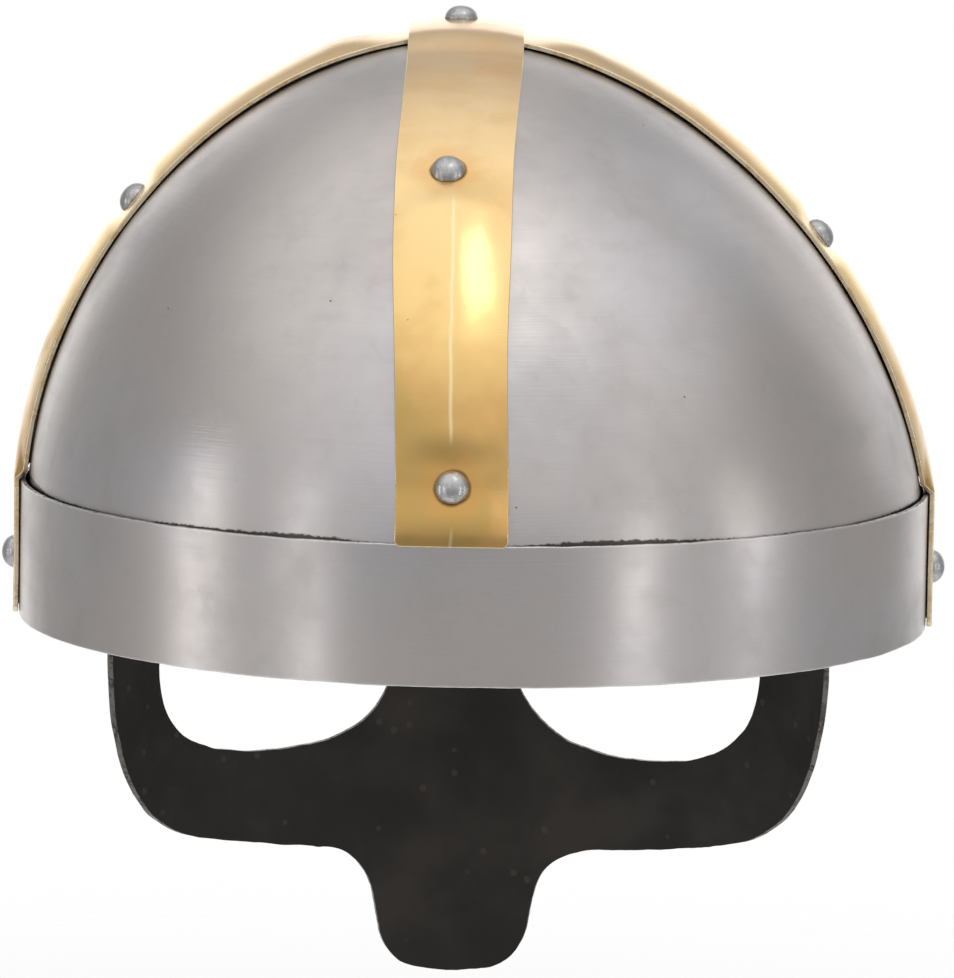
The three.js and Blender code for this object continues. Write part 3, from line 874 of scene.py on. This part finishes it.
@dataclass
class Strap:
    """A brass strip bent over the bowl. Its flat blank has along = 0 at the crown."""

    node: str
    form: BowlForm
    place: Callable[[float, float], Vector]
    across: Vector
    bottom: float
    crosses_over: bool
    ridge_start: float
    rivet_heights: tuple[tuple[int, float], ...]
    gauge: float = 1.2 * MM
    gap: float = 0.3 * MM
    band_lift: float = 1.8 * MM
    crown_lift: float = 2.2 * MM
    crossing_reach: float = 14.5 * MM
    crossing_run: float = 14 * MM
    band_clearance: float = 1.4 * MM
    ramp_run: float = 12 * MM
    pressed_run: float = 12 * MM
    bowl_radius: float = 100 * MM
    ridge_height: float = 1.9 * MM
    pinched_share: float = 0.25
    pinch_reach: float = 4 * MM
    pinch_run: float = 9 * MM
    ridge_run: float = 6 * MM
    end_width: float = 25.4 * MM
    crown_width: float = 28 * MM
    taper_start: float = 0.0
    taper_reach: float = 60 * MM
    corner: float = 0.9 * MM
    steps_across: int = 28
    step_along: float = 1.0 * MM
    path_steps: int = 900
    ripple_height: float = 0.09 * MM
    path: list[Vector] = field(init=False)
    lengths: list[float] = field(init=False)
    rivets: list[float] = field(init=False)
    start: float = field(init=False)
    end: float = field(init=False)

    def __post_init__(self) -> None:
        """Lays the strap's middle line over the bowl and finds where it ends and its rivets sit."""
        form = self.form
        arch = []
        for i in range(2 * self.path_steps + 1):
            angle = math.pi / 2 * (1 - i / self.path_steps)
            out, up = form.dome_share(abs(angle))
            arch.append(self.place(math.copysign(out, angle), lerp(form.shoulder, form.apex, up)))
        legs = self.bottom < form.shoulder
        first = [self.place(1, self.bottom)] if legs else []
        last = [self.place(-1, self.bottom)] if legs else []
        self.path = first + arch + last
        self.lengths = [0.0]
        for before, after in zip(self.path, self.path[1:]):
            self.lengths.append(self.lengths[-1] + (after - before).length)
        crown = self.lengths[self.path_steps + len(first)]
        self.lengths = [length - crown for length in self.lengths]
        self.rivets = [self.along_at(side, height) for side, height in self.rivet_heights]
        self.start, self.end = self.along_at(1, self.bottom), self.along_at(-1, self.bottom)

    def along_at(self, side: int, height: float) -> float:
        """Finds where the strap passes a height.

        Args:
            side: 1 for the path's first half, -1 for its second.
            height: The height.

        Returns:
            The distance from the crown along the strap.
        """
        middle = len(self.path) // 2
        order = range(middle, -1, -1) if side > 0 else range(middle, len(self.path))
        index = next((i for i in order if self.path[i].z <= height), order[-1])
        near = index + 1 if side > 0 else index - 1
        rise = self.path[near].z - self.path[index].z
        share = clamp((height - self.path[index].z) / rise) if rise else 0.0
        return lerp(self.lengths[index], self.lengths[near], share)

    def middle_at(self, along: float) -> tuple[Vector, Vector]:
        """Point and direction of the strap's middle line at a distance from the crown."""
        low, high = 0, len(self.lengths) - 1
        while high - low > 1:
            half = (low + high) // 2
            if self.lengths[half] <= along:
                low = half
            else:
                high = half
        span = self.lengths[high] - self.lengths[low]
        share = (along - self.lengths[low]) / span
        point = self.path[low].lerp(self.path[high], share)
        before, after = self.path[max(low - 3, 0)], self.path[min(high + 3, len(self.path) - 1)]
        return point, (after - before).normalized()

    def footprint(self, along: float, across: float) -> tuple[Vector, Vector]:
        """Point and outward direction on the bowl under a spot of the blank."""
        middle, tangent = self.middle_at(along)
        outward = tangent.cross(self.across).normalized()
        point = middle + self.across * across
        return point + outward * self.form.reach(point, outward), outward

    def ridge_at(self, along: float) -> float:
        """Height of the ridge along the strap's middle, low at the rivets."""
        nearest = min(abs(along - rivet) for rivet in self.rivets)
        free = ease(nearest, self.pinch_reach, self.pinch_reach + self.pinch_run)
        past = ease(abs(along), self.ridge_start, self.ridge_start + self.ridge_run)
        return self.ridge_height * lerp(self.pinched_share, 1, free) * past

    def lift(self, along: float, across: float, z: float) -> float:
        """Height of the strap's inner face over the bowl.

        Args:
            along: Distance from the crown along the blank.
            across: Distance from the blank's middle line.
            z: Height of the spot on the bowl.

        Returns:
            The height in metres.
        """
        form = self.form
        half = self.breadth(along) / 2
        outer = clamp(abs(across) / half) ** 2
        ramp = form.band_top + self.band_clearance
        over_band = 1 - ease(z, ramp, ramp + lerp(self.ramp_run, self.pressed_run, outer))
        recess = form.half_length * (1 - form.plan_share(min(z, ramp)))
        band_step = (self.band_lift - self.gap + recess) * over_band
        over_crown = 1 - ease(abs(along), self.crossing_reach, self.crossing_reach + self.crossing_run)
        crown_step = (self.crown_lift - self.gap) * over_crown if self.crosses_over else 0.0
        roof = 1 - math.hypot(across / half, 0.06)
        ridge = self.ridge_at(along) * (1 - over_band)
        flat = abs(across) * max(0.0, half - abs(across)) / (2 * self.bowl_radius)
        facet = flat * ridge / (self.ridge_height * max(form.plan_share(z), 0.2))
        return self.gap + max(band_step, crown_step) + ridge * max(0.0, roof) + facet

    def breadth(self, along: float) -> float:
        """Width of the strap away from its corners, narrower towards its ends."""
        return lerp(self.crown_width, self.end_width, ease(abs(along), self.taper_start, self.taper_reach))

    def width_at(self, along: float) -> float:
        """Width of the blank, with softened corners at its ends."""
        width = self.breadth(along)
        to_end = min(along - self.start, self.end - along)
        inset = self.corner - clamp(to_end, 0, self.corner)
        return width - 2 * (self.corner - math.sqrt(max(0.0, self.corner**2 - inset**2)))

    def blank(self) -> bmesh.types.BMesh:
        """A flat strip, finely and evenly divided."""
        length = self.end - self.start
        steps = round(length / self.step_along)
        bm = bmesh.new()
        bmesh.ops.create_grid(bm, x_segments=steps, y_segments=self.steps_across, size=0.5)
        bmesh.ops.scale(bm, vec=(length, 1, 1), verts=bm.verts)
        bmesh.ops.translate(bm, vec=((self.start + self.end) / 2, 0, 0), verts=bm.verts)
        return bm

    def build(self, dress: Wardrobe) -> None:
        """Bends the blank over the bowl and gives it its thickness.

        Args:
            dress: The materials.
        """
        bm = self.blank()
        uv = bm.loops.layers.uv.new("UVMap")
        ridge = bm.verts.layers.float.new("ridge")
        spots = {v: (v.co.x, v.co.y * self.width_at(v.co.x)) for v in bm.verts}
        for v, (along, across) in spots.items():
            foot, outward = self.footprint(along, across)
            rise = self.lift(along, across, foot.z) + self.gauge
            rise += self.ripple_height * (ripple(foot, 16 * MM, 2.0) + 0.4 * ripple(foot, 5 * MM, 4.0))
            v.co = foot + outward * rise
            v[ridge] = self.ridge_at(along) / self.ridge_height
        for face in bm.faces:
            for loop in face.loops:
                loop[uv].uv = spots[loop.vert]
        bmesh.ops.recalc_face_normals(bm, faces=bm.faces)
        bm.normal_update()
        top = max(bm.faces, key=lambda face: face.calc_center_median().z)
        if top.normal.z < 0:
            bmesh.ops.reverse_faces(bm, faces=bm.faces)
        mark_edges(bm)
        materials = [dress.brass, dress.inside, dress.brass_edge]
        piece = new_piece(f"{self.node}_brass", bm, materials, self.node)
        give_thickness(piece, self.gauge, rim=0.3 * MM)

    def seat(self, along: float, across: float = 0.0) -> tuple[Vector, Vector, float]:
        """Foot on the bowl, outward direction and height of the strap's outer face at a spot."""
        foot, outward = self.footprint(along, across)
        return foot, outward, self.lift(along, across, foot.z) + self.gauge


@dataclass
class StrapFrame:
    """The two straps that cross at the crown."""

    form: BowlForm
    rear_upper: float = 111.8 * MM
    rear_lower: float = 44.6 * MM
    left_upper: float = 97.8 * MM
    right_upper: float = 91.8 * MM
    band_rivets: float = 13.6 * MM
    crown_drift: float = -1.4 * MM
    crown_drift_start: float = 112 * MM
    crest_bow: float = 1.0 * MM
    rear_upper_offset: float = 1.4 * MM
    side: Strap = field(init=False)
    crest: Strap = field(init=False)

    def __post_init__(self) -> None:
        """Lays out both straps."""
        form = self.form
        self.side = Strap(
            node="side_strap", form=form, across=Vector((0, -1, 0)),
            place=self.side_place,
            bottom=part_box("side_strap")[0].z, crosses_over=False, ridge_start=14.5 * MM,
            band_clearance=0.3 * MM, pressed_run=1.5 * MM, pinch_run=5.5 * MM, ridge_run=16 * MM,
            rivet_heights=((1, self.left_upper), (1, self.band_rivets),
                           (-1, self.right_upper), (-1, self.band_rivets)),
        )
        self.crest = Strap(
            node="crest_strap", form=form, across=Vector((1, 0, 0)),
            place=self.crest_place,
            bottom=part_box("crest_strap")[0].z, crosses_over=True, ridge_start=78 * MM,
            end_width=25.8 * MM, crown_width=27.4 * MM, taper_start=95 * MM, taper_reach=135 * MM,
            rivet_heights=((1, self.rear_upper), (1, self.rear_lower),
                           (-1, self.rear_upper), (-1, self.rear_lower)),
        )

    def side_place(self, share: float, z: float) -> Vector:
        """Point on the side strap's middle line, by share of the bowl's half width and height."""
        return Vector((share * self.form.half_width + self.form.lean_at(z), 0, z))

    def crest_place(self, share: float, z: float) -> Vector:
        """Point on the crest strap's middle line, by share of the bowl's half length and height."""
        return Vector((self.crest_line(z), share * self.form.half_length, z))

    def crest_line(self, z: float) -> float:
        """Where the crest strap's middle runs, to the left of the rim's centre."""
        share = clamp((z - self.rear_lower) / (self.form.apex - self.rear_lower))
        bow = self.crest_bow * math.sin(math.pi * share)
        return self.form.lean + bow + self.crown_drift * ease(z, self.crown_drift_start, self.form.apex)

    def rivet_spots(self) -> dict[str, tuple[Strap, float, float]]:
        """The strap of each rivet and its place along and across it, but for the one at the crown."""
        crest = ("rear_upper", "rear_lower", "front_upper", "front_lower")
        side = ("left_upper", "left_lower", "right_upper", "right_lower")
        spots = {}
        for strap, names in ((self.crest, crest), (self.side, side)):
            for name, along in zip(names, strap.rivets):
                across = self.rear_upper_offset if name == "rear_upper" else 0.0
                spots[f"rivet_{name}"] = (strap, along, across)
        return spots

    def build(self, dress: Wardrobe) -> None:
        """Makes both straps.

        Args:
            dress: The materials.
        """
        self.side.build(dress)
        self.crest.build(dress)


# --- rivets -----------------------------------------------------------------------------------


@dataclass
class Rivets:
    """Domed rivets through the straps, the band and the guard, their tails hammered flat inside."""

    straps: StrapFrame
    head_radius: float = 4.0 * MM
    head_height: float = 3.2 * MM
    shank_radius: float = 2.0 * MM
    tail_radius: float = 3.4 * MM
    tail_height: float = 1.2 * MM
    tail_gap: float = 0.6 * MM
    tail_profile: tuple[tuple[float, float], ...] = (
        (0.9, 0.0), (1.0, 0.3), (0.9, 0.85), (0.5, 1.0), (0.0, 1.0))
    plate_depth: float = 1.32 * MM
    guard_depth: float = 1.9 * MM
    guard_seat: float = 1.8 * MM
    seat_gap: float = -0.25 * MM
    rounds: int = 56
    dome_rows: int = 18
    dent: float = 0.045 * MM

    def build(self, dress: Wardrobe) -> None:
        """Makes every rivet where its node is.

        Args:
            dress: The materials.
        """
        for node in sorted(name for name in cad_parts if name.startswith("rivet_")):
            guard = node.startswith("rivet_guard")
            foot, outward, seat = self.guard_place(node) if guard else self.strap_place(node)
            depth = self.plate_depth + self.tail_gap + (self.guard_depth if guard else 0.0)
            bm = self.shape(seat + self.seat_gap, -depth)
            turn = outward.to_track_quat("Z", "X").to_matrix().to_4x4()
            bmesh.ops.transform(bm, matrix=Matrix.Translation(foot) @ turn, verts=bm.verts)
            bm.normal_update()
            for v in bm.verts:
                dent = ripple(v.co, 2.6 * MM, 1.0) + 0.5 * ripple(v.co, 1.1 * MM, 6.0)
                v.co += v.normal * self.dent * (dent - 0.6)
            new_piece(f"{node}_steel", bm, [dress.rivet], node)

    def shape(self, seat: float, tail: float) -> bmesh.types.BMesh:
        """Spins a rivet's profile round Z.

        Args:
            seat: Height of the head's flat underside.
            tail: Height of the tail's flat upper side.

        Returns:
            The closed rivet.
        """
        bm = bmesh.new()
        outline = []
        for row in range(self.dome_rows + 1):
            angle = math.pi / 2 * row / self.dome_rows
            outline.append((self.head_radius * math.sin(angle), seat + self.head_height * math.cos(angle)))
        outline += [(self.shank_radius, seat), (self.shank_radius, tail)]
        for out, down in self.tail_profile:
            outline.append((self.tail_radius * out, tail - self.tail_height * down))
        verts = [bm.verts.new((radius, 0, z)) for radius, z in outline]
        edges = [bm.edges.new(pair) for pair in zip(verts, verts[1:])]
        bmesh.ops.spin(bm, geom=verts + edges, cent=(0, 0, 0), axis=(0, 0, 1),
                       angle=math.tau, steps=self.rounds, use_merge=True)
        bmesh.ops.remove_doubles(bm, verts=bm.verts, dist=0.002 * MM)
        bmesh.ops.recalc_face_normals(bm, faces=bm.faces)
        return bm

    def strap_place(self, node: str) -> tuple[Vector, Vector, float]:
        """Foot, direction and seat of a rivet through a strap."""
        straps = self.straps
        if node == "rivet_crown":
            return straps.crest.seat(0.0, -straps.crown_drift)
        strap, along, across = straps.rivet_spots()[node]
        return strap.seat(along, across)

    def guard_place(self, node: str) -> tuple[Vector, Vector, float]:
        """Foot, direction and seat of a rivet through the band and the guard."""
        form = self.straps.form
        low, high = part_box(node)
        centre = (low + high) / 2
        outward = Vector((centre.x / form.half_width**2, centre.y / form.half_length**2, 0)).normalized()
        foot = centre + outward * form.reach(centre, outward)
        return foot, outward, self.guard_seat


# --- spectacle guard --------------------------------------------------------------------------


@dataclass
class SpectacleGuard:
    """The face guard, cut flat with two eye openings and a nose guard, then bent round the brow.

    The outline's own sizes are in millimetres, along the rim from the front and up from the rim.
    """

    form: BowlForm
    node: str = "spectacle_guard"
    gauge: float = 1.6 * MM
    depth: float = 1.62 * MM
    reach: float = 110.0
    top: float = 26.0
    tip: float = -107.5
    centre: float = 1.5
    nose: float = 4.0
    eye_centre: float = 4.5
    eye_top: float = -4.0
    eye_bottom: float = -50.2
    eye_tilt: float = 0.9
    slice_width: float = 2.0 * MM
    slice_height: float = 4.0 * MM
    curve_steps: int = 30
    line_step: float = 1.2 * MM
    wander: float = 0.3 * MM
    wander_length: float = 7 * MM
    wall: list[tuple[float, float]] = field(init=False)

    def __post_init__(self) -> None:
        """Measures the bowl's wall from the front round each side: lengths by plan angle."""
        steps = 720
        self.wall = [(0.0, 0.0)]
        before = self.wall_point(0.0)
        for i in range(1, steps + 1):
            angle = math.pi * i / steps
            after = self.wall_point(angle)
            self.wall.append((self.wall[-1][0] + (after - before).length, angle))
            before = after

    def wall_point(self, angle: float) -> Vector:
        """Point on the bowl's wall at a plan angle from the front, towards the left."""
        return Vector((self.form.half_width * math.sin(angle), -self.form.half_length * math.cos(angle), 0))

    def bent(self, along: float, z: float) -> Vector:
        """Where a spot of the flat guard lies once it is bent, on the outer face."""
        goal = abs(along) * self.form.half_width / (self.form.half_width - self.depth)
        low = next(i for i, (length, _) in enumerate(self.wall[1:]) if length >= goal)
        (first, start), (last, end) = self.wall[low], self.wall[low + 1]
        angle = math.copysign(lerp(start, end, (goal - first) / (last - first)), along)
        point = self.wall_point(angle)
        outward = Vector((point.x / self.form.half_width**2, point.y / self.form.half_length**2, 0))
        point -= outward.normalized() * self.depth
        point.z = z
        return point

    def trace(self, start: tuple[float, float], parts: list[tuple]) -> list[Vector]:
        """Follows an outline given in millimetres.

        Args:
            start: First point.
            parts: For a line its end; for a curve its two handles and its end.

        Returns:
            Points along the outline in metres, the last one left out because it is the first.
        """
        points = [Vector((*start, 0)) * MM]
        for part in parts:
            end = Vector((*part[-1], 0)) * MM
            if len(part) == 1:
                steps = max(1, round((end - points[-1]).length / self.line_step))
                points += [points[-1].lerp(end, (i + 1) / steps) for i in range(steps)]
            else:
                handles = [Vector((*handle, 0)) * MM for handle in part[:2]]
                points += interpolate_bezier(points[-1], *handles, end, self.curve_steps)[1:]
        return [self.hand_cut(point) for point in points[:-1]]

    def hand_cut(self, point: Vector) -> Vector:
        """Moves a point of an outline by the small wander of a saw and file."""
        fine = self.wander_length / 4
        off = [ripple(point, self.wander_length, seed) + 0.35 * ripple(point, fine, seed + 3)
               for seed in (1.0, 8.0)]
        return point + Vector((off[0], off[1], 0)) * self.wander

    def outline(self) -> list[Vector]:
        """The flange, arms and nose guard."""
        left, right, nose = self.centre + self.reach, self.centre - self.reach, self.nose
        return self.trace((left - 6, self.top), [
            ((right + 6, self.top),),
            ((right + 2.7, self.top), (right, self.top - 2.7), (right, self.top - 6)),
            ((right, -24),),
            ((right + 2, -46), (right + 12, -66), (right + 38, -70.2)),
            ((right + 50, -72.6), (right + 62, -74.1), (right + 74, -75)),
            ((nose - 27, -76), (nose - 22, -80), (nose - 20.5, -89)),
            ((nose - 19, -97),),
            ((nose - 17, -105), (nose - 12, self.tip), (nose, self.tip)),
            ((nose + 12, self.tip), (nose + 17, -105), (nose + 19, -97)),
            ((nose + 20.5, -89),),
            ((nose + 22, -80), (nose + 27, -76), (left - 74, -75)),
            ((left - 62, -74.1), (left - 50, -72.6), (left - 38, -70.2)),
            ((left - 12, -66), (left - 2, -46), (left, -24)),
            ((left, self.top - 6),),
            ((left, self.top - 2.7), (left - 2.7, self.top), (left - 6, self.top)),
        ])

    def eye(self, side: int) -> list[Vector]:
        """One eye opening, to the wearer's left (side 1) or right (side -1)."""
        low = self.eye_bottom + side * self.eye_tilt

        def at(reach: float, z: float) -> tuple[float, float]:
            """A point at a distance from the middle between the eyes."""
            return self.eye_centre + side * reach, z

        return self.trace(at(26, self.eye_top), [
            (at(67, self.eye_top),),
            (at(80, self.eye_top), at(87, -12), at(87, -25)),
            (at(87, -42), at(73, low), at(50, low)),
            (at(34, low), at(22, -46), at(17, -34)),
            (at(12, -20), at(10, self.eye_top), at(26, self.eye_top)),
        ])

    def build(self, dress: Wardrobe) -> None:
        """Fills the outline, slices it finely and bends it round the brow.

        Args:
            dress: The materials.
        """
        bm = bmesh.new()
        for points in (self.outline(), self.eye(1), self.eye(-1)):
            ring = [bm.verts.new(point) for point in points]
            for pair in zip(ring, ring[1:] + ring[:1]):
                bm.edges.new(pair)
        bmesh.ops.triangle_fill(bm, use_beauty=True, use_dissolve=False, edges=bm.edges, normal=(0, 0, 1))
        reach, low, high = (self.reach + 5) * MM, self.tip * MM, self.top * MM
        self.slice(bm, Vector((1, 0, 0)), -reach, reach, self.slice_width)
        self.slice(bm, Vector((0, 1, 0)), low, high, self.slice_height)
        mark_edges(bm)
        for v in bm.verts:
            swell = ripple(v.co, 34 * MM, 11.0) * 0.25 * MM
            v.co = self.bent(v.co.x, v.co.y)
            v.co += Vector((v.co.x, v.co.y, 0)).normalized() * (swell - 0.1 * MM)
        bmesh.ops.recalc_face_normals(bm, faces=bm.faces)
        bm.normal_update()
        nose = min(bm.faces, key=lambda face: face.calc_center_median().z)
        if nose.normal.y > 0:
            bmesh.ops.reverse_faces(bm, faces=bm.faces)
        materials = [dress.guard, dress.inside, dress.guard_edge]
        piece = new_piece("spectacle_guard_steel", bm, materials, self.node)
        give_thickness(piece, self.gauge)

    @staticmethod
    def slice(bm: bmesh.types.BMesh, axis: Vector, low: float, high: float, step: float) -> None:
        """Adds cuts across a flat mesh at even steps along an axis."""
        for i in range(1, int((high - low) / step)):
            bmesh.ops.bisect_plane(bm, geom=bm.verts[:] + bm.edges[:] + bm.faces[:], dist=1e-7,
                                   plane_co=axis * (low + i * step), plane_no=axis)


# --- studio -----------------------------------------------------------------------------------


@dataclass(frozen=True)
class LightCard:
    """A soft light panel that faces the helmet; bearings are from the camera's side, in degrees."""

    name: str
    bearing: float
    height: float
    width: float
    tall: float
    power: float
    distance: float = 2.0

    def build(self, centre: Vector) -> None:
        """Hangs the panel.

        Args:
            centre: What it faces.
        """
        data = bpy.data.lights.new(self.name, "AREA")
        data.shape = "RECTANGLE"
        data.size = self.width
        data.size_y = self.tall
        data.energy = self.power
        card = bpy.data.objects.new(self.name, data)
        bearing, height = math.radians(self.bearing), math.radians(self.height)
        away = Vector((-math.sin(bearing) * math.cos(height), math.cos(bearing) * math.cos(height),
                       math.sin(height)))
        card.location = centre + away * self.distance
        card.rotation_euler = away.to_track_quat("Z", "Y").to_euler()
        card.visible_camera = False
        bpy.context.scene.collection.objects.link(card)


@dataclass
class Studio:
    """A pale floor that fades into white, soft light panels and the camera."""

    centre: Vector = field(default_factory=lambda: Vector((-0.6, 0, 30.4)) * MM)
    distance: float = 2.0
    elevation: float = math.radians(7.1)
    roll: float = math.radians(0.95)
    lens: float = 307.7
    floor_drop: float = 40 * MM
    floor_radius: float = 0.55
    room_level: float = 0.42
    ceiling_level: float = 0.42
    above_level: float = 0.27
    behind_level: float = 1.0
    ceiling_facing: tuple[float, float, float] = (0.0, 0.574, 0.819)
    cards: tuple[LightCard, ...] = (
        LightCard("strip_near_left", -45, -3, 0.12, 1.3, 1.9),
        LightCard("strip_near_right", 45, -3, 0.12, 1.3, 2.2),
        LightCard("strip_far_left", -76, -3, 0.20, 1.3, 2.2),
        LightCard("strip_far_right", 76, -3, 0.20, 1.3, 2.0),
        LightCard("top_front", 34, 65, 0.50, 0.60, 1.2),
        LightCard("back_right", 135, 22, 0.5, 1.5, 0.8),
        LightCard("back_left", -148, 22, 0.3, 1.5, 0.2),
    )

    def build(self) -> None:
        """Makes the whole studio."""
        self.floor()
        self.world()
        for card in self.cards:
            card.build(self.centre)
        self.camera()
        bpy.context.scene.view_settings.view_transform = "Standard"

    def floor(self) -> None:
        """A pale round floor under the helmet, clear at its rim."""
        low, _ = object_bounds()
        bm = bmesh.new()
        bmesh.ops.create_circle(bm, cap_ends=True, segments=96, radius=self.floor_radius)
        bmesh.ops.translate(bm, vec=(0, 0, low.z - self.floor_drop), verts=bm.verts)
        mesh = bpy.data.meshes.new("floor")
        bm.to_mesh(mesh)
        bm.free()
        material, g, shader = new_material("pale_floor")
        place = g.add("ShaderNodeTexCoord").outputs["Object"]
        spot = g.vector("MULTIPLY", place, (1.0, 1.0, 0.0)).outputs[0]
        away = g.vector("LENGTH", spot).outputs["Value"]
        clear = g.remap(away, 0.35 * self.floor_radius, 0.97 * self.floor_radius, 1.0, 0.0)
        g.tree.links.new(clear, shader.inputs["Alpha"])
        shader.inputs["Base Color"].default_value = (0.92, 0.92, 0.92, 1.0)
        shader.inputs["Emission Color"].default_value = (1.0, 1.0, 1.0, 1.0)
        shader.inputs["Emission Strength"].default_value = 0.16
        shader.inputs["Roughness"].default_value = 0.9
        shader.inputs["Specular IOR Level"].default_value = 0.0
        mesh.materials.append(material)
        floor = bpy.data.objects.new("floor", mesh)
        bpy.context.scene.collection.objects.link(floor)
        floor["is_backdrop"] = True

    def world(self) -> None:
        """White to look at, and a soft grey room with a bright far end for the light."""
        world = bpy.data.worlds.new("studio")
        bpy.context.scene.world = world
        world.use_nodes = True
        g = Graph(world.node_tree)
        g.tree.nodes.clear()
        towards = g.add("ShaderNodeTexCoord").outputs["Generated"]
        parts = g.add("ShaderNodeSeparateXYZ", {0: towards}).outputs
        facing = g.vector("DOT_PRODUCT", towards, self.ceiling_facing).outputs["Value"]
        patch = g.remap(facing, 0.15, 0.85, 0.0, self.ceiling_level)
        ceiling = g.math("MULTIPLY", patch, g.remap(parts["Z"], -0.25, 0.55))
        above = g.remap(parts["Z"], 0.45, 0.9, 0.0, self.above_level)
        behind = g.remap(parts["Y"], -0.75, -0.99, 0.0, self.behind_level)
        room = g.math("ADD", g.math("ADD", ceiling, above), g.math("ADD", behind, self.room_level))
        seen = g.add("ShaderNodeLightPath").outputs["Is Camera Ray"]
        level = g.add("ShaderNodeMix", {0: seen, 2: room, 3: 1.0}, data_type="FLOAT").outputs[0]
        light = g.add("ShaderNodeBackground", {"Strength": level})
        light.inputs["Color"].default_value = (1.0, 1.0, 1.0, 1.0)
        g.add("ShaderNodeOutputWorld", {"Surface": light.outputs[0]})

    def camera(self) -> None:
        """A long lens, a little above the rim, looking at the side that shows."""
        data = bpy.data.cameras.new("camera")
        data.lens = self.lens
        data.clip_start = 0.05
        camera = bpy.data.objects.new("camera", data)
        away = Vector((0, math.cos(self.elevation), math.sin(self.elevation)))
        camera.location = self.centre + away * self.distance
        turn = away.to_track_quat("Z", "Y") @ Matrix.Rotation(self.roll, 3, "Z").to_quaternion()
        camera.rotation_euler = turn.to_euler()
        bpy.context.scene.collection.objects.link(camera)
        bpy.context.scene.camera = camera


def make_wardrobe(straps: StrapFrame) -> Wardrobe:
    """Builds every material.

    Args:
        straps: The straps, whose rivets stain the brass.

    Returns:
        The materials.
    """
    effects = Effects()
    places = []
    for strap, along, across in straps.rivet_spots().values():
        foot, outward, height = strap.seat(along, across)
        places.append(foot + outward * height)
    form = straps.form
    brass = BrassFinish("polished_brass", form.band_top, form.apex, tuple(places))
    guard_edge = CutEdgeFinish("guard_cut_edge", (0.16, 0.15, 0.14, 1), (0.03, 0.027, 0.025, 1))
    steel_edge = CutEdgeFinish("steel_cut_edge", (0.70, 0.68, 0.66, 1), (0.09, 0.08, 0.075, 1))
    brass_edge = CutEdgeFinish("brass_cut_edge", (0.96, 0.84, 0.62, 1), (0.74, 0.54, 0.30, 1))
    return Wardrobe(
        # The bowl's painted crevice shade reaches just above the band's top edge.
        bowl=SteelFinish("bowl_satin_steel", crevice_shade_level=form.band_top + 0.25 * MM).material(effects),
        band=SteelFinish("band_satin_steel", grain_depth=0.035 * MM, pit_share=0.03).material(effects),
        guard=SteelFinish("guard_satin_steel", roughness=0.3).material(effects),
        brass=brass.material(effects),
        inside=BlackenedFinish("blackened_inside").material(effects),
        guard_edge=guard_edge.material(effects),
        steel_edge=steel_edge.material(effects),
        brass_edge=brass_edge.material(effects),
        rivet=RivetFinish("rivet_bright_steel").material(effects),
    )


def main() -> None:
    """Builds the helmet's sub-assemblies in order, then the studio."""
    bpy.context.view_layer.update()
    form = BowlForm.from_frame()
    straps = StrapFrame(form)
    dress = make_wardrobe(straps)
    BowlPlates(form).build(dress)
    BrowBand().build(dress)
    straps.build(dress)
    Rivets(straps).build(dress)
    SpectacleGuard(form).build(dress)
    Studio().build()


if __name__ == "__main__":
    main()
